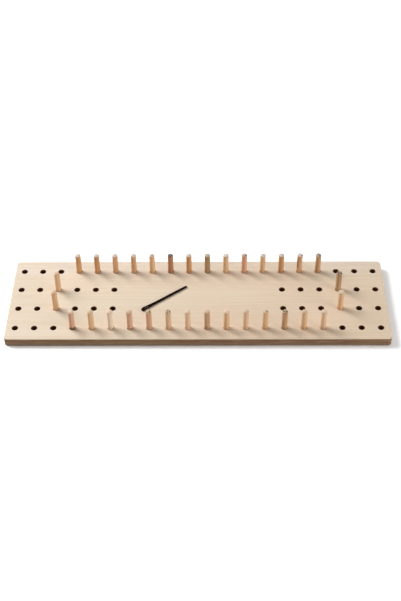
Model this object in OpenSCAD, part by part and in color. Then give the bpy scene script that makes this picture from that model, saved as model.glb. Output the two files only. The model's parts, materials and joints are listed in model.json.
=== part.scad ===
// Peg loom: a flat drilled board, loose dowel pegs that stand in its holes, and a blunt needle.
// Millimetres. The origin is the middle of the board's underside, +X runs along the board,
// +Y runs from the front edge to the back edge, and +Z is up.

/* [Board] */
// Thickness of the board
board_t = 12.5; // [9:0.5:25]
// From the outermost column of holes to the board's end
end_margin = 12.5; // [10:0.5:40]
// From the outermost row of holes to the board's long edge
side_margin = 20; // [10:0.5:60]
// Radius of the board's corners, seen from above
corner_r = 5; // [2:0.5:9]
// Width of the bevel round the board's top edge
edge_bevel = 1; // [0.5:0.25:1.5]

/* [Holes] */
// Distance between neighbouring columns
column_pitch = 25; // [16:0.5:40]
// Distance between neighbouring rows
row_pitch = 35; // [20:0.5:60]
// Diameter of a peg hole
hole_d = 8; // [6:0.1:12]
// Wood left under a blind peg hole
floor_t = 2.5; // [1:0.25:4]
// Number of columns of holes
columns = 20; // [16:1:21]
// Columns drilled in the two inner rows, counted from each end
inner_columns = 6; // [4:1:7]

/* [Pegs] */
// Gap all round a peg in its hole
peg_clearance = 0.25; // [0.1:0.05:0.5]
// Height of a peg above the board
peg_stand = 32; // [20:0.5:60]
// Height of the dome on a peg's tip
dome_h = 1.6; // [0.5:0.1:2.4]
// Width of the bevel on a peg's foot
foot_bevel = 0.5; // [0.2:0.1:1]
// Columns left without a peg at each end of the outer rows
free_columns = 3; // [1:1:5]
// Column of the end pegs in the inner rows, counted from each end
end_peg_column = 3; // [1:1:4]

/* [Needle] */
// Length of the needle
needle_l = 74; // [60:1:100]
// Width of the needle's head
head_w = 5.8; // [5:0.1:8]
// Thickness of the needle's flat head
head_t = 3.2; // [2.6:0.1:4]
// Length of the head, from its round end to the neck
head_l = 18; // [14:0.5:24]
// Diameter of the needle at the neck
neck_d = 3.2; // [2.6:0.1:4]
// Diameter of the needle near its blunt tip
tip_d = 2.8; // [1.8:0.1:3]
// Length of the eye, end to end
eye_l = 8; // [5:0.5:10]
// Width of the eye
eye_w = 2; // [1.4:0.1:2.4]
// Middle of the needle along the board
needle_x = -44.6; // [-80:0.1:80]
// Middle of the needle across the board
needle_y = 0.4; // [-15:0.1:15]
// Direction of the needle on the board, from head to tip, in degrees
needle_turn = 37.1; // [0:0.1:60]

/* [Hidden] */
$fn = 96;
rows = 4;
row_front = 1;
row_inner_front = 2;
row_inner_back = 3;
row_back = 4;

board_l = (columns - 1) * column_pitch + 2 * end_margin;
board_w = (rows - 1) * row_pitch + 2 * side_margin;

peg_d = hole_d - 2 * peg_clearance;
peg_l = peg_stand + board_t - floor_t;
dome_r = (pow(peg_d / 2, 2) + pow(dome_h, 2)) / (2 * dome_h);
pegs_per_row = columns - 2 * free_columns;

// Half angle of the needle's tapered shaft, by which it lies down on its lowest line
shaft_l = needle_l - head_l;
needle_lean = asin((neck_d - tip_d) / 2 / shaft_l);
// Depth of the narrow flat along the needle's underside
lying_flat = 0.05;
axis_z = neck_d / 2 * cos(needle_lean) + head_l * sin(needle_lean) - lying_flat;
// Rounding at the needle's two ends, along its length
head_round = 4;
tip_round = 0.8;
arc_steps = 8;
cut_reach = 1;

function column_x(column) = (column - (columns + 1) / 2) * column_pitch;
function row_y(row) = (row - (rows + 1) / 2) * row_pitch;
function from_right(column) = columns + 1 - column;
function two_digits(n) = str(n < 10 ? "0" : "", n);

function is_outer(row) = row == row_front || row == row_back;
function has_hole(column, row) =
    is_outer(row) || column <= inner_columns || from_right(column) <= inner_columns;

// Each peg as its node name, column and row
function row_pegs(label, row) = [
    for (i = [1 : pegs_per_row]) [str("peg_", label, "_", two_digits(i)), free_columns + i, row]
];
function end_pegs(label, column) = [
    [str("peg_", label, "_1"), column, row_inner_front],
    [str("peg_", label, "_2"), column, row_inner_back]
];
pegs = concat(
    row_pegs("back", row_back),
    row_pegs("front", row_front),
    end_pegs("left", end_peg_column),
    end_pegs("right", from_right(end_peg_column))
);

// The plain board: two crossed slabs and four corner discs, all bevelled at the top
module board_section(half) {
    polygon([
        [-half, 0],
        [half, 0],
        [half, board_t - edge_bevel],
        [half - edge_bevel, board_t],
        [-half + edge_bevel, board_t],
        [-half, board_t - edge_bevel]
    ]);
}

module board_blank() {
    rotate([90, 0, 90])
        linear_extrude(board_l - 2 * corner_r, center = true)
            board_section(board_w / 2);
    rotate([90, 0, 0])
        linear_extrude(board_w - 2 * corner_r, center = true)
            board_section(board_l / 2);
    for (x = [-1, 1], y = [-1, 1])
        translate([x * (board_l / 2 - corner_r), y * (board_w / 2 - corner_r), 0])
            corner_disc();
}

module corner_disc() {
    cylinder(r = corner_r, h = board_t - edge_bevel);
    translate([0, 0, board_t - edge_bevel])
        cylinder(r1 = corner_r, r2 = corner_r - edge_bevel, h = edge_bevel);
}

module peg_hole(column, row) {
    translate([column_x(column), row_y(row), floor_t])
        cylinder(d = hole_d, h = board_t - floor_t + cut_reach);
}

module board() {
    color("#E6D5BC")
        difference() {
            board_blank();
            for (column = [1 : columns], row = [1 : rows])
                if (has_hole(column, row)) peg_hole(column, row);
        }
}

// A dowel peg, standing on its foot at the origin
module dowel() {
    cylinder(d1 = peg_d - 2 * foot_bevel, d2 = peg_d, h = foot_bevel);
    translate([0, 0, foot_bevel])
        cylinder(d = peg_d, h = peg_l - foot_bevel - dome_h);
    intersection() {
        translate([0, 0, peg_l - dome_h])
            cylinder(d = peg_d, h = dome_h);
        translate([0, 0, peg_l - dome_r])
            sphere(r = dome_r);
    }
}

module peg(column, row) {
    color("#C99A6B")
        translate([column_x(column), row_y(row), floor_t])
            dowel();
}

// Radius along the needle, from the round end of the head to the blunt tip, as outline points
function head_end() = [
    for (i = [0 : arc_steps])
        let (a = 90 * i / arc_steps)
        [head_w / 2 * sin(a), head_round * (1 - cos(a))]
];
function tip_end() = [
    for (i = [0 : arc_steps])
        let (a = 90 * i / arc_steps)
        [tip_d / 2 - tip_round * (1 - cos(a)), needle_l - tip_round * (1 - sin(a))]
];
needle_outline = concat(head_end(), [[neck_d / 2, head_l]], tip_end(), [[0, needle_l]]);

module needle_turned() {
    rotate_extrude()
        polygon(needle_outline);
}

module needle_eye() {
    spread = (eye_l - eye_w) / 2;
    translate([head_round + spread, 0, -head_t / 2 - cut_reach]) {
        for (side = [-1, 1])
            translate([side * spread, 0, 0])
                cylinder(d = eye_w, h = head_t + 2 * cut_reach);
        translate([-spread, -eye_w / 2, 0])
            cube([2 * spread, eye_w, head_t + 2 * cut_reach]);
    }
}

// The needle lies flat on the board: its head and its shaft touch the same plane
module needle() {
    color("#241A1C")
        translate([needle_x, needle_y, board_t])
            rotate(needle_turn)
                translate([-needle_l / 2, 0, 0])
                    difference() {
                        intersection() {
                            translate([0, 0, axis_z])
                                rotate([0, needle_lean, 0])
                                    rotate([0, 90, 0])
                                        needle_turned();
                            translate([-cut_reach, -head_w, 0])
                                cube([needle_l + 2 * cut_reach, 2 * head_w, head_t]);
                        }
                        translate([0, 0, head_t / 2])
                            needle_eye();
                    }
}

board();
for (peg = pegs)
    peg(peg[1], peg[2]);
needle();
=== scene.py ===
# %% [markdown]
# A peg loom is about the plainest loom there is: a drilled board, loose dowels that stand in its holes,
# and a blunt needle that leads the yarn round them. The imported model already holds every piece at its
# right size and place, so this lesson only makes them look like wood and plastic. It starts by loading
# that model as a frame that nothing here may move.

import json
import math

import bmesh
import bpy
from mathutils import Matrix, Vector


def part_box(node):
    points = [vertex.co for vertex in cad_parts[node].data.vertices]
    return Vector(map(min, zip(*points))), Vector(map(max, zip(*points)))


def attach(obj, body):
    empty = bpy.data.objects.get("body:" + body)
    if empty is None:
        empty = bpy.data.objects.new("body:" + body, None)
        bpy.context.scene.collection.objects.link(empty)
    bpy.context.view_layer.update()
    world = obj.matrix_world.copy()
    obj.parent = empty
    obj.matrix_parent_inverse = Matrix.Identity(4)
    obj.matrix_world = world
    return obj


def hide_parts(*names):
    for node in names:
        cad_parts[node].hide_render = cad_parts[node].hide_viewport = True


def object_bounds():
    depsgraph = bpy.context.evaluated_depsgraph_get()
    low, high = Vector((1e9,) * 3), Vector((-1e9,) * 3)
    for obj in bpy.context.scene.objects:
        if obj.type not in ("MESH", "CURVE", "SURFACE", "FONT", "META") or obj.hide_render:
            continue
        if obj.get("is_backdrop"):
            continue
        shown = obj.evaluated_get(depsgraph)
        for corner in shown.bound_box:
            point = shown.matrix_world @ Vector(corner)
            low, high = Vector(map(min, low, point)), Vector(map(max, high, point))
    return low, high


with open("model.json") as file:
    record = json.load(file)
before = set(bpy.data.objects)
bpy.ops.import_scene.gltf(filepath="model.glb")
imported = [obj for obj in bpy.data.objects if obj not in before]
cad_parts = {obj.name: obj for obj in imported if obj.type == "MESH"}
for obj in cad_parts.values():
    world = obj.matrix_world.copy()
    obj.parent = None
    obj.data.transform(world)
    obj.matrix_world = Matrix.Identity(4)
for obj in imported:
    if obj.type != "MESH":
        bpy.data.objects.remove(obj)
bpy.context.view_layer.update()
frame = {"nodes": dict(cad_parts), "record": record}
MM = 0.001

# %% [markdown]
# The loom was photographed from in front, well above it, with a long lens that hardly spreads its ends.
# A camera is a place, a turn and a focal length. These values were found by matching the grid of holes,
# which is the best ruler the board has, so every hole falls where it should before any wood is made.

# %% Camera
camera_data = bpy.data.cameras.new("studio_camera")
camera_data.sensor_width = 36
camera_data.lens = 67.722
camera_data.shift_y = -0.1303
camera_data.clip_start = 0.05
camera_data.clip_end = 30
camera = bpy.data.objects.new("studio_camera", camera_data)
camera.location = (0.02306, -1.05908, 1.08706)
camera.rotation_euler = [math.radians(turn) for turn in (48.4681, 0.6006, 0.4560)]
bpy.context.scene.collection.objects.link(camera)
bpy.context.scene.camera = camera
print("camera", round(camera.location.length, 2), "m from the middle of the board")

# %% [markdown]
# A shader is a small chain of nodes. Writing each one takes three lines: make it, set it, join it. One
# helper does all three, so that a wood reads like a recipe. Colours are written as the hex values that
# a paint chart would give, and one function turns them to the linear light that a renderer counts in.

# %% Helpers for colours and nodes
def linear(hex_colour):
    """Turns an sRGB hex colour into linear red, green, blue and alpha."""
    channels = [int(hex_colour[i : i + 2], 16) / 255 for i in (1, 3, 5)]
    return (*[c / 12.92 if c <= 0.04045 else ((c + 0.055) / 1.055) ** 2.4 for c in channels], 1)


def add_node(tree, kind, inputs=(), **settings):
    """Adds a node, sets it, and gives each input a plain value or another node's output."""
    node = tree.nodes.new(kind)
    for name, value in settings.items():
        setattr(node, name, value)
    for name, value in dict(inputs).items():
        if isinstance(value, bpy.types.NodeSocket):
            tree.links.new(value, node.inputs[name])
        else:
            node.inputs[name].default_value = value
    return node


bpy.context.scene.view_settings.view_transform = "Standard"
print("cream birch in linear light:", [round(c, 3) for c in linear("#EEE0CC")])

# %% [markdown]
# The loom lies on a seamless white table. A camera that looks at a lit white sheet sees nearly full
# white, but not quite, so the floor is made a little brighter for the camera alone and stays a plain
# pale grey for the light that bounces off it. The same switch gives the room a white backdrop and only
# a faint light. Rays in a mirror or through glass count as the camera's, so they would see it too.

# %% What the camera sees, and what the light sees
def camera_part(tree):
    """1 for rays from the camera, in a mirror or through glass, and 0 for light that bounces about."""
    rays = add_node(tree, "ShaderNodeLightPath")
    direct = add_node(
        tree,
        "ShaderNodeMath",
        {0: rays.outputs["Is Camera Ray"], 1: rays.outputs["Is Glossy Ray"]},
        operation="MAXIMUM",
    )
    either = add_node(
        tree,
        "ShaderNodeMath",
        {0: direct.outputs[0], 1: rays.outputs["Is Transmission Ray"]},
        operation="MAXIMUM",
    )
    return either.outputs[0]


room = bpy.data.worlds.new("studio_room")
bpy.context.scene.world = room
room.use_nodes = True
tree = room.node_tree
tree.nodes.clear()
FILL_STRENGTH = 0.14
fill = add_node(tree, "ShaderNodeBackground", {"Color": linear("#FFFFFF"), "Strength": FILL_STRENGTH})
white = add_node(tree, "ShaderNodeBackground", {"Color": linear("#FFFFFF"), "Strength": 1.0})
both = add_node(
    tree, "ShaderNodeMixShader", {0: camera_part(tree), 1: fill.outputs[0], 2: white.outputs[0]}
)
add_node(tree, "ShaderNodeOutputWorld", {"Surface": both.outputs[0]})
print("room fill", FILL_STRENGTH)

# %% [markdown]
# Where the loom keeps the light away, the table darkens, and that is its shadow. Far from the loom,
# where the lamps no longer reach, the table is plain white for the camera, as a studio sweep is.

# %% Floor
floor_mesh = bmesh.new()
bmesh.ops.create_grid(floor_mesh, x_segments=1, y_segments=1, size=6)
floor_data = bpy.data.meshes.new("white_table")
floor_mesh.to_mesh(floor_data)
floor_mesh.free()
floor = bpy.data.objects.new("white_table", floor_data)
bpy.context.scene.collection.objects.link(floor)
floor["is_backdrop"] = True

paper = bpy.data.materials.new("white_paper")
paper.use_nodes = True
tree = paper.node_tree
tree.nodes.clear()
lit = add_node(tree, "ShaderNodeBsdfDiffuse", {"Color": linear("#FFFFFF")})
lift = add_node(tree, "ShaderNodeBsdfDiffuse", {"Color": linear("#CBCFD2")})
bright = add_node(tree, "ShaderNodeAddShader", {0: lit.outputs[0], 1: lift.outputs[0]})
place = add_node(tree, "ShaderNodeTexCoord").outputs["Object"]
distance = add_node(tree, "ShaderNodeVectorMath", {0: place}, operation="LENGTH")
# The sweep takes over between these two distances from the loom's middle, in metres
SWEEP_FROM, SWEEP_TO = 0.45, 0.9
far_part = add_node(
    tree,
    "ShaderNodeMapRange",
    {"Value": distance.outputs["Value"], "From Min": SWEEP_FROM, "From Max": SWEEP_TO},
)
sweep = add_node(tree, "ShaderNodeEmission", {"Color": linear("#FFFFFF"), "Strength": 1.0})
whole = add_node(
    tree, "ShaderNodeMixShader", {0: far_part.outputs[0], 1: bright.outputs[0], 2: sweep.outputs[0]}
)
bounce = add_node(tree, "ShaderNodeBsdfDiffuse", {"Color": linear("#ECECEC")})
sheet = add_node(
    tree, "ShaderNodeMixShader", {0: camera_part(tree), 1: bounce.outputs[0], 2: whole.outputs[0]}
)
add_node(tree, "ShaderNodeOutputMaterial", {"Surface": sheet.outputs[0]})
floor_data.materials.append(paper)
print("floor", round(floor.dimensions.x), "m wide")

# %% [markdown]
# Three soft boxes light the table. The main one stands to the left and a little behind, about forty
# degrees up, because each peg throws its shadow to the right and forward, about as long as the peg
# itself. A wide one hangs overhead and fills those shadows, so they stay soft and pale. The third
# stands low at the right front: it brightens the pegs' right sides and the board's front edge, which
# the main box cannot reach.

# %% Lights
def soft_box(name, side, watts, place):
    """A square area lamp, its side in metres, that looks at the middle of the board."""
    lamp_data = bpy.data.lights.new(name, "AREA")
    lamp_data.shape = "SQUARE"
    lamp_data.size = side
    lamp_data.energy = watts
    lamp = bpy.data.objects.new(name, lamp_data)
    lamp.location = place
    lamp.rotation_mode = "QUATERNION"
    lamp.rotation_quaternion = Vector(place).to_track_quat("Z", "Y")
    bpy.context.scene.collection.objects.link(lamp)
    print(name, watts, "W")


soft_box("key_box", 0.9, 25.2, (-1.10, 0.57, 1.17))
soft_box("overhead_box", 2.0, 5.4, (0.0, 0.8, 2.0))
soft_box("side_box", 1.4, 24, (2.0, -1.05, 0.72))

# %% [markdown]
# The board is a plank of pale close-grained wood, 500 by 145 by 12.5 mm, with rounded corners, an eased
# top edge and 64 blind holes. Cutting the holes with a Boolean would work, but it leaves ragged faces
# round each mouth. Instead each hole's lining is turned like a pot, from an eased mouth down to the
# mark of the drill's point, the blank is made from one bevelled and extruded rectangle, and the top face
# is filled in between them.

# %% Sizes of the board, read from the frame
board_low, board_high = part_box("board")
board_size = board_high - board_low
board_middle = (board_high + board_low) / 2
hole_mount = next(m for m in frame["record"]["mounts"] if m["name"].startswith("peg_hole"))
hole_radius = hole_mount["dims"]["r_mm"] * MM
hole_depth = hole_mount["dims"]["length_mm"] * MM
peg_nodes = sorted(name for name in frame["nodes"] if name.startswith("peg_"))
hole_places = [Vector(hole_mount["pos_m"]).to_2d()]
for peg_node in peg_nodes:
    low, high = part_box(peg_node)
    hole_places.append(((low + high) / 2).to_2d())
for room_in_board in frame["record"]["physics"]["openings"]:
    if room_in_board["name"].startswith("socket_"):
        low, high = [Vector(corner) for corner in room_in_board["box_m"]]
        hole_places.append(((low + high) / 2).to_2d())
print(len(hole_places), "holes of radius", round(hole_radius / MM, 2), "mm")

# %% Turn the hole linings
SLOT_FACE, SLOT_EDGE, SLOT_HOLE = 0, 1, 2
MOUTH_EASE = 0.20 * MM
# How far the middle of the eased mouth stays from its two faces, so that it is round
MOUTH_ROUND = 0.06 * MM
POINT_RADIUS = 1.1 * MM
POINT_DEPTH = 0.7 * MM
# Points closer than this become one
MERGE_DISTANCE = 0.01 * MM
floor_z = board_high.z - hole_depth
lining_outline = [
    (hole_radius + MOUTH_EASE, board_high.z),
    (hole_radius + MOUTH_ROUND, board_high.z - MOUTH_ROUND),
    (hole_radius, board_high.z - MOUTH_EASE),
    (hole_radius, floor_z),
    (POINT_RADIUS, floor_z),
    (0, floor_z - POINT_DEPTH),
]
linings = bmesh.new()
for x, y in hole_places:
    points = [linings.verts.new((x + radius, y, z)) for radius, z in lining_outline]
    lines = [linings.edges.new(pair) for pair in zip(points, points[1:])]
    bmesh.ops.spin(
        linings,
        geom=points + lines,
        cent=(x, y, 0),
        axis=(0, 0, 1),
        angle=math.tau,
        steps=36,
        use_merge=True,
    )
bmesh.ops.remove_doubles(linings, verts=linings.verts, dist=MERGE_DISTANCE)
for face in linings.faces:
    face.material_index = SLOT_HOLE
linings_data = bpy.data.meshes.new("hole_linings")
linings.to_mesh(linings_data)
linings.free()
print("linings:", len(linings_data.polygons), "faces")

# %% Cut the blank
CORNER_RADIUS = 5 * MM
board = bmesh.new()
bmesh.ops.create_grid(board, x_segments=1, y_segments=1, size=0.5)
bmesh.ops.scale(board, vec=(board_size.x, board_size.y, 1), verts=board.verts)
bmesh.ops.translate(board, vec=(board_middle.x, board_middle.y, board_low.z), verts=board.verts)
bmesh.ops.bevel(
    board,
    geom=board.verts[:],
    offset=CORNER_RADIUS,
    segments=10,
    profile=0.5,
    affect="VERTICES",
    material=-1,
)
raised = bmesh.ops.extrude_face_region(board, geom=board.faces[:], use_keep_orig=True)
top_points = [part for part in raised["geom"] if isinstance(part, bmesh.types.BMVert)]
bmesh.ops.translate(board, vec=(0, 0, board_size.z), verts=top_points)
bmesh.ops.recalc_face_normals(board, faces=board.faces)
print("blank:", len(board.faces), "faces")


# %% Ease its edges
LEVEL_WITHIN = 0.001 * MM


def rim(z):
    """The board's edges that lie flat at one height."""
    return [e for e in board.edges if all(abs(v.co.z - z) < LEVEL_WITHIN for v in e.verts)]


TOP_EASE, BOTTOM_EASE = 0.9 * MM, 0.4 * MM
for height, ease, steps in ((board_high.z, TOP_EASE, 4), (board_low.z, BOTTOM_EASE, 2)):
    bmesh.ops.bevel(
        board,
        geom=rim(height),
        offset=ease,
        segments=steps,
        profile=0.5,
        affect="EDGES",
        material=-1,
    )
# A face whose normal rises less than this is part of a side
SIDE_RISE = 0.5
for face in board.faces:
    face.material_index = SLOT_EDGE if abs(face.normal.z) < SIDE_RISE else SLOT_FACE
print("eased blank:", len(board.faces), "faces")

# %% Join the blank and the linings
lid = max(board.faces, key=lambda face: face.calc_center_median().z + face.calc_area())
bmesh.ops.delete(board, geom=[lid], context="FACES_ONLY")
board.from_mesh(linings_data)
open_edges = [edge for edge in board.edges if edge.is_boundary]
bmesh.ops.triangle_fill(board, edges=open_edges, use_beauty=True, normal=(0, 0, 1))
bmesh.ops.recalc_face_normals(board, faces=board.faces)
for face in board.faces:
    face.smooth = True
loose_ends = sum(not edge.is_manifold for edge in board.edges)
volume = round(board.calc_volume() / MM**3)
print("board:", len(board.faces), "faces,", loose_ends, "open edges, volume", volume, "mm3")
board_data = bpy.data.meshes.new("drilled_board")
board.to_mesh(board_data)
board.free()
board_data.set_sharp_from_angle(angle=math.radians(35))
drilled_board = bpy.data.objects.new("drilled_board", board_data)
bpy.context.scene.collection.objects.link(drilled_board)
weights = drilled_board.modifiers.new("flat_faces_lead", "WEIGHTED_NORMAL")
weights.keep_sharp = True

# %% [markdown]
# All the woods here are built in the same way, as a stainer would do it: a body colour, then one thin
# coat after another, each laid on where some pattern is strong. The pattern is noise, pulled out along
# the wood, because fibre is a random pattern stretched in one direction. Each stretch is given as real
# lengths in millimetres, so the grain stays the right size whatever piece it is on.

# %% Helpers for grain and coats
def per(length_mm):
    """How often a pattern of this length in millimetres repeats in a metre."""
    return 1 / (length_mm * MM)


def raw_material(name):
    """A new material, its nodes, and where on the piece each point lies."""
    material = bpy.data.materials.new(name)
    material.use_nodes = True
    tree = material.node_tree
    return material, tree, add_node(tree, "ShaderNodeTexCoord").outputs["Object"]


def grain(tree, place, lengths_mm, detail=1, roughness=0.5, turn=(0, 0, 0)):
    """Noise pulled out to these lengths along X, Y and Z, and turned by these angles."""
    stretched = add_node(
        tree,
        "ShaderNodeMapping",
        {"Vector": place, "Rotation": turn, "Scale": [per(length) for length in lengths_mm]},
    )
    return add_node(
        tree,
        "ShaderNodeTexNoise",
        {"Vector": stretched.outputs[0], "Scale": 1, "Detail": detail, "Roughness": roughness},
    )


def coat(tree, under, over, pattern, start, full, most=1):
    """Lays one colour over another, from none where a pattern is at start to most where it is full."""
    amount = add_node(
        tree,
        "ShaderNodeMapRange",
        {"Value": pattern, "From Min": start, "From Max": full, "To Max": most},
    )
    mixed = add_node(
        tree, "ShaderNodeMix", {0: amount.outputs[0], 6: under, 7: over}, data_type="RGBA"
    )
    return mixed.outputs[2]


def finish_wood(tree, colour, pattern, strength, depth_mm, roughness, ior=1.46):
    """Gives bare, sanded wood its colour, a relief from one of its patterns, and a dull surface."""
    relief = add_node(
        tree,
        "ShaderNodeBump",
        {"Height": pattern, "Strength": strength, "Distance": depth_mm * MM},
    )
    surface = tree.nodes["Principled BSDF"]
    tree.links.new(colour, surface.inputs["Base Color"])
    tree.links.new(relief.outputs[0], surface.inputs["Normal"])
    surface.inputs["Roughness"].default_value = roughness
    surface.inputs["IOR"].default_value = ior
    # Open fibre scatters most of the shine
    surface.inputs["Specular IOR Level"].default_value = 0.2


print("a 2 mm pattern repeats", round(per(2)), "times in a metre")

# %% [markdown]
# The board's wood is birch, planed, sanded and left raw. That gives a cream face with hardly any
# contrast: long faint fibres along the board, a few slow bands of honey and rose, and a dull surface
# with no shine. Slow waves bend the fibres, because no trunk grows quite straight.

# %% Birch for the board's faces
face_wood, tree, place = raw_material("birch_sanded_face")
# Waves 180 mm long bend the fibres sideways, by less than this
WAVE_DEPTH = 9 * MM
wave = grain(tree, place, (180, 70, 70))
bent = add_node(
    tree,
    "ShaderNodeVectorMath",
    {0: wave.outputs["Color"], 1: (0, WAVE_DEPTH, 0), 2: place},
    operation="MULTIPLY_ADD",
).outputs[0]
# Growth rings show as bands 2.4 mm wide and 150 mm long
rings = grain(tree, bent, (150, 2.4, 2.4), detail=3, roughness=0.55).outputs["Fac"]
# Real fibres are finer than these, which are 0.4 mm wide and 9 mm long so that they show
fibres = grain(tree, bent, (9, 0.4, 0.4), detail=2).outputs["Fac"]
# Rosy patches are a hand's breadth long
patches = grain(tree, place, (110, 38, 38), detail=2).outputs["Fac"]
where = add_node(tree, "ShaderNodeSeparateXYZ", {0: place})
along, across = where.outputs["X"], where.outputs["Y"]
# The plank grows yellower from its left end to its right end
colour = coat(tree, linear("#EEE0CC"), linear("#F2DDC1"), along, board_low.x, board_high.x)
# Behind the back row of holes it is painted a shade paler and cooler: a painted sheen, where light from
# the sky glances off the board
BACK_SHEEN_FROM, BACK_SHEEN_TO = 42 * MM, 62 * MM
colour = coat(tree, colour, linear("#F0E8DE"), across, BACK_SHEEN_FROM, BACK_SHEEN_TO, 0.5)
# Then rose patches, honey rings and darker fibres
colour = coat(tree, colour, linear("#EFD6C0"), patches, 0.35, 0.65, 0.4)
colour = coat(tree, colour, linear("#DFC5A1"), rings, 0.42, 0.72, 0.4)
colour = coat(tree, colour, linear("#CDAE86"), fibres, 0.55, 0.8, 0.35)
finish_wood(tree, colour, fibres, strength=0.25, depth_mm=0.06, roughness=0.62)
board_data.materials.append(face_wood)
print(face_wood.name, "has", len(tree.nodes), "nodes")

# %% [markdown]
# The board's sides show the same wood cut through. They are painted much browner and darker than the
# face:
# partly the browner grain of a sawn edge, and partly painted shade, since the sides stand out of the
# main light. They carry long dark lines and the slanting streaks that the saw left. The lowest few
# millimetres are painted greyer, as painted shade where the sides meet the table.

# %% Birch for the board's edges
edge_wood, tree, place = raw_material("birch_sawn_edge")
# Lines 0.9 mm apart and 90 mm long are the growth rings cut lengthwise
LINE_TURN = math.radians(2.5)
lines = grain(
    tree, place, (90, 30, 0.9), detail=3, roughness=0.6, turn=(0, LINE_TURN, 0)
).outputs["Fac"]
# The saw's streaks are 3 mm apart
STREAK_TURN = math.radians(-35)
streaks = grain(tree, place, (26, 26, 3), detail=2, turn=(0, STREAK_TURN, 0)).outputs["Fac"]
patches = grain(tree, place, (60, 60, 20)).outputs["Fac"]
height = add_node(tree, "ShaderNodeSeparateXYZ", {0: place}).outputs["Z"]
# The painted shade's grey begins and is full at these heights above the table
TABLE_SHADE_FROM, TABLE_SHADE_TO = 6 * MM, 1 * MM
# Two browns in patches, dark partly as painted shade, then dark lines, pale streaks and a grey foot of
# painted shade
colour = coat(tree, linear("#9E7B57"), linear("#997357"), patches, 0.35, 0.65)
colour = coat(tree, colour, linear("#74523A"), lines, 0.4, 0.7, 0.9)
colour = coat(tree, colour, linear("#B49370"), streaks, 0.48, 0.7, 0.6)
colour = coat(tree, colour, linear("#A19788"), height, TABLE_SHADE_FROM, TABLE_SHADE_TO, 0.6)
finish_wood(tree, colour, lines, strength=0.3, depth_mm=0.08, roughness=0.72)
board_data.materials.append(edge_wood)
print(edge_wood.name, "has", len(tree.nodes), "nodes")

# %% [markdown]
# The walls of a blind hole are painted dark brown: mostly painted shade, for a deep hole that light
# hardly reaches, and partly the scorch that a drill running hot leaves. The dark is even down the wall,
# with faint turned rings, and it fades near the mouth.

# %% Scorched birch with painted shade for the holes
hole_wood, tree, place = raw_material("birch_drilled_scorch_and_shade")
# The rings that a drill leaves are 0.5 mm apart down the wall
rings = grain(tree, place, (6, 6, 0.5), detail=2).outputs["Fac"]
height = add_node(tree, "ShaderNodeSeparateXYZ", {0: place}).outputs["Z"]
# The painted shade and scorch begin to fade here, and are fainter from there to the mouth
MOUTH_FROM, MOUTH_TO = board_high.z - 1.2 * MM, board_high.z - 0.1 * MM
colour = coat(tree, linear("#5C3820"), linear("#7E5230"), rings, 0, 1)
colour = coat(tree, colour, linear("#8A6440"), height, MOUTH_FROM, MOUTH_TO)
finish_wood(tree, colour, rings, strength=0.4, depth_mm=0.1, roughness=0.8)
board_data.materials.append(hole_wood)
print(hole_wood.name, "has", len(tree.nodes), "nodes")

# %% Give the board to its body
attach(drilled_board, "board")
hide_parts("board")
print("board dressed in", [m.name for m in board_data.materials])

# %% [markdown]
# The pegs are short beech dowels, turned to 7.5 mm, with a domed tip and a small bevel on the foot. A
# dowel is a lathe shape, so its outline is drawn once, as an arc over the tip and a line down the side,
# and spun. The arc itself is a point spun about the centre of the dome.

# %% Turn a dowel
DOME_HEIGHT = 1.6 * MM
CORNER_EASE = 0.5 * MM


def turned_dowel(name, low, high):
    """A dowel between two corners of a box: domed tip, soft shoulder, bevelled foot."""
    middle = (low + high) / 2
    radius = (high.x - low.x) / 2
    dome_radius = (radius**2 + DOME_HEIGHT**2) / (2 * DOME_HEIGHT)
    dowel = bmesh.new()
    crown = dowel.verts.new((0, 0, high.z))
    arc = bmesh.ops.spin(
        dowel,
        geom=[crown],
        cent=(0, 0, high.z - dome_radius),
        axis=(0, 1, 0),
        angle=math.asin(radius / dome_radius),
        steps=5,
    )
    shoulder = next(part for part in arc["geom_last"] if isinstance(part, bmesh.types.BMVert))
    foot_rim = bmesh.ops.extrude_vert_indiv(dowel, verts=[shoulder])["verts"][0]
    foot_rim.co.z = low.z
    foot_middle = bmesh.ops.extrude_vert_indiv(dowel, verts=[foot_rim])["verts"][0]
    foot_middle.co.x = 0
    for corner, steps in ((shoulder, 3), (foot_rim, 2)):
        bmesh.ops.bevel(
            dowel,
            geom=[corner],
            offset=CORNER_EASE,
            segments=steps,
            profile=0.5,
            affect="VERTICES",
            material=-1,
        )
    bmesh.ops.spin(
        dowel,
        geom=dowel.verts[:] + dowel.edges[:],
        cent=(0, 0, 0),
        axis=(0, 0, 1),
        angle=math.tau,
        steps=32,
        use_merge=True,
    )
    bmesh.ops.remove_doubles(dowel, verts=dowel.verts, dist=MERGE_DISTANCE)
    bmesh.ops.recalc_face_normals(dowel, faces=dowel.faces)
    bmesh.ops.translate(dowel, vec=(middle.x, middle.y, 0), verts=dowel.verts)
    for face in dowel.faces:
        face.smooth = True
    dowel_data = bpy.data.meshes.new(name)
    dowel.to_mesh(dowel_data)
    dowel.free()
    dowel_data.set_sharp_from_angle(angle=math.radians(50))
    piece = bpy.data.objects.new(name, dowel_data)
    bpy.context.scene.collection.objects.link(piece)
    return piece


print("dome", round(DOME_HEIGHT / MM, 1), "mm high")

# %% [markdown]
# Beech shows short dark flecks along the stem and fine streaks of lighter and darker fibre. Sanded and
# left raw it has almost no shine. The tips are end grain, with open pores that show as specks, and are
# painted paler than the stem, a painted highlight where the light from above falls on the domes. Some
# dowels also carry dark marks, where a knot or a bruise shows, and every foot is painted a little
# darker, as painted shade where it meets the board. One recipe serves every dowel, and each one says how
# much of all this it has.

# %% Beech for the dowels
DARK_MARK = "#4A3022"
# The end grain begins and is full at these depths below the crown
TIP_FROM, TIP_TO = 2.8 * MM, 1.0 * MM
# The foot's painted shade and stain begin and are full at these heights above the board
FOOT_FROM, FOOT_TO = 5.5 * MM, 3 * MM
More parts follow.
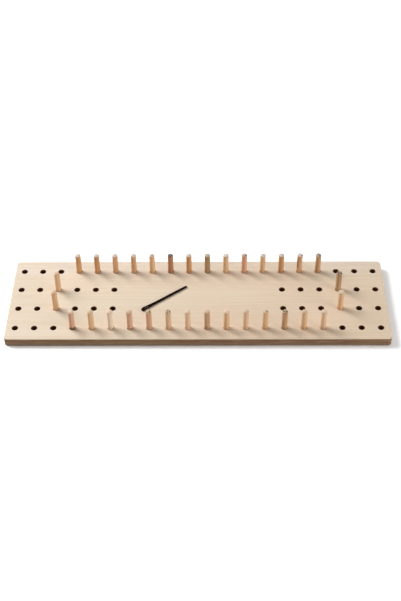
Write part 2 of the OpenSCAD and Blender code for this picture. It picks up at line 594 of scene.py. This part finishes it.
# A pore begins and is full at these values of the noise, and specks lower both by up to the third
PORE_FROM, PORE_TO, PORE_DROP = 0.72, 0.80, 0.3
# A mark fades out at the first share of its size, is full inside the second, and hides this much wood
MARK_FADED, MARK_FULL, MARK_COVER = 1.1, 0.6, 0.85


def beech_dowel(name, crown, side, streak, tip, specks, marks, foot_shade_and_stain):
    """Turned and sanded beech, raw: streaks and flecks along the stem, and specks in the end grain."""
    wood, tree, place = raw_material(name)
    # Streaks are 1.8 mm wide and run most of the dowel's length
    streaks = grain(tree, place, (1.8, 1.8, 30), detail=2, roughness=0.55).outputs["Fac"]
    # Real flecks are finer than these, which are 0.35 mm wide and 2.2 mm long so that they show
    flecks = grain(tree, place, (0.35, 0.35, 2.2)).outputs["Fac"]
    # Open pores, drawn 1.3 mm apart for the same reason
    pores = grain(tree, place, (1.3, 1.3, 1.3)).outputs["Fac"]
    height = add_node(tree, "ShaderNodeSeparateXYZ", {0: place}).outputs["Z"]
    colour = coat(tree, linear(side), linear(streak), streaks, 0.38, 0.66, 0.9)
    colour = coat(tree, colour, linear("#7A4A2C"), flecks, 0.62, 0.78, 0.5)
    pore_from, pore_to = PORE_FROM - PORE_DROP * specks, PORE_TO - PORE_DROP * specks
    # The tip colour is paler than the stem: a painted highlight on the dome, with pores as dark specks
    end_grain = coat(tree, linear(tip), linear(DARK_MARK), pores, pore_from, pore_to)
    colour = coat(tree, colour, end_grain, height, crown.z - TIP_FROM, crown.z - TIP_TO)
    foot_from, foot_to = board_high.z + FOOT_FROM, board_high.z + FOOT_TO
    # Darker near the foot: painted shade where the dowel meets the board, plus a stain where there is
    # one
    colour = coat(tree, colour, linear("#4A2814"), height, foot_from, foot_to, foot_shade_and_stain)
    for right, back, down, half_width, half_height in marks:
        centre = crown + Vector((right, back, -down)) * MM
        size = Vector((per(half_width), per(half_width), per(half_height)))
        # How far a point is from the mark's middle, counted in the mark's own half sizes
        offset = add_node(
            tree,
            "ShaderNodeVectorMath",
            {0: place, 1: size, 2: -centre * size},
            operation="MULTIPLY_ADD",
        )
        reach = add_node(
            tree, "ShaderNodeVectorMath", {0: offset.outputs[0]}, operation="LENGTH"
        ).outputs["Value"]
        mark = linear(DARK_MARK)
        colour = coat(tree, colour, mark, reach, MARK_FADED, MARK_FULL, MARK_COVER)
    finish_wood(tree, colour, flecks, strength=0.3, depth_mm=0.05, roughness=0.58, ior=1.48)
    return wood


print("dark marks in", DARK_MARK)

# %% [markdown]
# No two dowels are alike, because they were sawn from mixed stock: most golden, some rosy, a few from
# dark heartwood. Each kind of beech has three colours, for the side, for its streaks and for the tip,
# and each row is then a list of kinds from left to right.

# %% The stock of dowels
# Each tip colour is paler than its side, partly as a painted highlight on the dome
STOCK = {
    "golden": ("#F8CFA3", "#E8B987", "#EAD6C0"),
    "tan": ("#EEC196", "#DAA87B", "#E6D6C8"),
    "honey": ("#E3B283", "#CE9763", "#E6D8C8"),
    "heart": ("#CC9672", "#B47B59", "#A89A8E"),
    "olive": ("#C3A37D", "#A4835B", "#CFC2B0"),
    "pale": ("#FFE8CC", "#FFE1C0", "#F0DFCA"),
    "peach": ("#FBD6B0", "#F0C29A", "#F0DCC3"),
    "rosy": ("#EDBD9A", "#DBA282", "#DEC2AE"),
    "beige": ("#F4CFA8", "#E4B88C", "#ECDFD6"),
    "russet": ("#DBB188", "#C4936C", "#DFCBBB"),
    "brown": ("#CDAD88", "#B68F6B", "#D0B8A2"),
}
ROWS = {
    "back": "honey honey tan tan golden heart honey olive beige rosy beige honey tan russet",
    "front": "rosy golden pale rosy rosy beige peach russet golden peach golden russet golden peach",
}
KINDS = {
    "peg_left_1": "golden",
    "peg_left_2": "beige",
    "peg_right_1": "golden",
    "peg_right_2": "brown",
}
for row, row_kinds in ROWS.items():
    for number, kind in enumerate(row_kinds.split(), start=1):
        KINDS[f"peg_{row}_{number:02d}"] = kind
print(len(KINDS), "dowels of", len(STOCK), "kinds")

# %% What sets single dowels apart
# The tips in these rows get less painted highlight, no paler than the board, apart from a few that are
# painted paler, with more of the painted highlight
DULL_TIPS = {"front": "#E0C6A6", "left": "#DDBD9E"}
HIGHLIT_TIP = "#F3D5BC"
HIGHLIT_TIPS = {"peg_front_01", "peg_front_03", "peg_front_07", "peg_front_09", "peg_front_14"}
# How much of a tip is open pores, from 0 for none to 1 for most of it
SPECKLED = {
    "peg_back_05": 0.3,
    "peg_back_06": 0.7,
    "peg_back_10": 0.5,
    "peg_back_13": 0.4,
    "peg_back_14": 0.7,
    "peg_front_05": 0.6,
    "peg_front_06": 0.6,
    "peg_front_12": 0.8,
    "peg_right_2": 0.9,
}
# Each dark mark: right, back and down from the crown, then half its width and half its height, in mm
MARKS = {
    "peg_back_05": [(0.2, -1.6, 0.5, 0.9, 0.9)],
    "peg_back_06": [(-1.8, -1.4, 0.6, 1.4, 1.0), (1.9, -1.2, 0.6, 1.4, 1.0)],
    "peg_back_10": [(1.6, -1.6, 0.7, 1.2, 1.2), (2.6, -2.7, 31.0, 1.0, 1.0)],
    "peg_back_11": [(0.3, -1.2, 0.4, 0.7, 0.7)],
    "peg_back_13": [(2.6, -1.4, 1.0, 1.1, 1.1), (-2.9, -2.3, 14.0, 1.0, 12.0)],
    "peg_back_14": [(-1.0, -1.0, 0.4, 0.9, 0.9), (1.6, -1.4, 0.6, 1.0, 1.0)],
    "peg_front_03": [(2.7, -2.6, 30.8, 0.8, 1.0)],
    "peg_front_04": [(2.4, -2.8, 30.5, 1.0, 1.3)],
    "peg_front_05": [(1.7, -1.6, 0.7, 1.3, 1.3)],
    "peg_front_06": [(1.6, -0.6, 0.6, 1.0, 1.0), (-0.4, 0.6, 0.2, 1.0, 1.0)],
    "peg_front_11": [(0.6, -0.8, 0.3, 0.9, 0.9), (2.4, -1.0, 1.0, 0.8, 0.8)],
    "peg_front_12": [
        (-1.6, -1.0, 0.6, 1.0, 1.0),
        (1.4, -1.4, 0.6, 1.1, 1.1),
        (2.6, -1.6, 1.4, 0.9, 0.9),
    ],
    "peg_right_2": [(-1.2, -1.2, 0.5, 1.2, 1.2), (1.6, -1.0, 0.6, 1.2, 1.2)],
}
# Every foot is painted a little darker, as painted shade where it meets the board, and one has also
# soaked up a stain
FOOT_SHADE = 0.12
STAINED_FEET = {"peg_front_01": 0.8}
print(len(SPECKLED), "speckled tips,", len(MARKS), "marked dowels")

# %% Make all the dowels
for peg_node in peg_nodes:
    low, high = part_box(peg_node)
    dowel = turned_dowel(peg_node.replace("peg", "dowel"), low, high)
    side, streak, tip = STOCK[KINDS[peg_node]]
    row = peg_node.split("_")[1]
    wood = beech_dowel(
        peg_node.replace("peg", "beech"),
        Vector(((low.x + high.x) / 2, (low.y + high.y) / 2, high.z)),
        side,
        streak,
        HIGHLIT_TIP if peg_node in HIGHLIT_TIPS else DULL_TIPS.get(row, tip),
        SPECKLED.get(peg_node, 0),
        MARKS.get(peg_node, []),
        STAINED_FEET.get(peg_node, FOOT_SHADE),
    )
    dowel.data.materials.append(wood)
    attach(dowel, peg_node)
    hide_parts(peg_node)
print(len(peg_nodes), "dowels of", len(dowel.data.polygons), "faces")

# %% [markdown]
# The needle is one piece of moulded plastic, 74 mm long: a flattened head with a long eye, and a round
# shaft that thins to a blunt tip. It is built as a ring pulled along the needle, its width and
# thickness set at each station, then the eye is opened by taking out the faces on both sides of the
# head and bridging the two openings. Subdivision rounds the whole thing off, as the mould did.

# %% Pull out the needle
NEEDLE_TURN = math.radians(37.1)
NEEDLE_MIDDLE = (-44.6 * MM, 0.4 * MM)
NEEDLE_LENGTH = 74 * MM
# Each station: distance from the head's end, half the width and half the thickness, in mm
STATIONS = [
    (0.05, 0.9, 0.7),
    (0.5, 1.75, 1.15),
    (1.6, 2.5, 1.45),
    (3.4, 2.9, 1.58),
    (4.4, 2.95, 1.6),
    (7.0, 2.75, 1.6),
    (9.6, 2.5, 1.6),
    (12.0, 2.25, 1.6),
    (13.2, 2.1, 1.6),
    (18.0, 1.65, 1.6),
    (30.0, 1.58, 1.57),
    (52.0, 1.49, 1.49),
    (72.4, 1.41, 1.41),
    (73.4, 1.2, 1.2),
    (73.95, 0.8, 0.8),
]
needle = bmesh.new()
ring = bmesh.ops.create_circle(needle, segments=16, radius=MM)["verts"]
bmesh.ops.rotate(needle, cent=(0, 0, 0), matrix=Matrix.Rotation(math.pi / 2, 3, "Y"), verts=ring)
loop = list({edge for vert in ring for edge in vert.link_edges})
x_before, width_before, thickness_before, rise_before = 0, 1, 1, 0
for number, (x, half_width, half_thickness) in enumerate(STATIONS):
    if number:
        pulled = bmesh.ops.extrude_edge_only(needle, edges=loop)["geom"]
        ring = [part for part in pulled if isinstance(part, bmesh.types.BMVert)]
        loop = [part for part in pulled if isinstance(part, bmesh.types.BMEdge)]
    bmesh.ops.scale(
        needle,
        vec=(1, half_width / width_before, half_thickness / thickness_before),
        space=Matrix.Translation((-x_before * MM, 0, -rise_before * MM)),
        verts=ring,
    )
    # Each ring is lifted by its own half thickness, so that the whole needle lies on one plane
    step = ((x - x_before) * MM, 0, (half_thickness - rise_before) * MM)
    bmesh.ops.translate(needle, vec=step, verts=ring)
    x_before, width_before, thickness_before = x, half_width, half_thickness
    rise_before = half_thickness
    if number in (0, len(STATIONS) - 1):
        bmesh.ops.contextual_create(needle, geom=loop)
print("needle pulled through", len(STATIONS), "stations")

# %% Open the eye
EYE_FROM, EYE_TO, EYE_HALF_WIDTH = 4.4 * MM, 12 * MM, 1 * MM


def over_eye(face):
    """Whether a face of the head lies over the eye."""
    middle = face.calc_center_median()
    return EYE_FROM < middle.x < EYE_TO and abs(middle.y) < EYE_HALF_WIDTH and len(face.verts) == 4


eye_faces = [face for face in needle.faces if over_eye(face)]
print("needle:", len(eye_faces), "faces opened")
bmesh.ops.delete(needle, geom=eye_faces, context="FACES")
rims = [edge for edge in needle.edges if edge.is_boundary]
bmesh.ops.bridge_loops(needle, edges=rims)
bmesh.ops.remove_doubles(needle, verts=needle.verts, dist=0.001 * MM)
bmesh.ops.recalc_face_normals(needle, faces=needle.faces)

# %% Lay the needle on the board
bmesh.ops.translate(needle, vec=(-NEEDLE_LENGTH / 2, 0, board_high.z), verts=needle.verts)
turn = Matrix.Rotation(NEEDLE_TURN, 3, "Z")
bmesh.ops.rotate(needle, cent=(0, 0, 0), matrix=turn, verts=needle.verts)
bmesh.ops.translate(needle, vec=(*NEEDLE_MIDDLE, 0), verts=needle.verts)
for face in needle.faces:
    face.smooth = True
print("needle:", sum(not edge.is_manifold for edge in needle.edges), "open edges")
needle_data = bpy.data.meshes.new("yarn_needle")
needle.to_mesh(needle_data)
needle.free()
yarn_needle = bpy.data.objects.new("yarn_needle", needle_data)
bpy.context.scene.collection.objects.link(yarn_needle)
rounding = yarn_needle.modifiers.new("moulded_rounding", "SUBSURF")
rounding.levels = 3
rounding.render_levels = 3

# %% [markdown]
# The plastic is polypropylene, near black with a brown cast. Moulding leaves it smooth, but yarn and
# fingers have rubbed it nearly matt, with fine scratches along it that break up what shine is left.

# %% Moulded plastic for the needle
plastic, tree, place = raw_material("polypropylene_moulded_dark")
# Scratches 0.3 mm apart and 12 mm long run along the needle
scratches = grain(tree, place, (12, 0.3, 0.3), detail=3, turn=(0, 0, -NEEDLE_TURN)).outputs["Fac"]
colour = coat(tree, linear("#170D0B"), linear("#241512"), scratches, 0, 1)
worn = add_node(
    tree,
    "ShaderNodeMapRange",
    {"Value": scratches, "From Min": 0.35, "From Max": 0.7, "To Min": 0.7, "To Max": 0.85},
)
relief = add_node(
    tree, "ShaderNodeBump", {"Height": scratches, "Strength": 0.2, "Distance": 0.03 * MM}
)
surface = tree.nodes["Principled BSDF"]
tree.links.new(colour, surface.inputs["Base Color"])
tree.links.new(worn.outputs[0], surface.inputs["Roughness"])
tree.links.new(relief.outputs[0], surface.inputs["Normal"])
surface.inputs["IOR"].default_value = 1.49
surface.inputs["Specular IOR Level"].default_value = 0.02
needle_data.materials.append(plastic)
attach(yarn_needle, "needle")
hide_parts("needle")
print("needle dressed in", plastic.name)

# %% [markdown]
# Last, the finished loom is measured and its size printed, so that a slip in any piece shows.

# %% Measure and finish
low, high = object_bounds()
print("visual size in mm:", [round(side / MM, 1) for side in high - low])
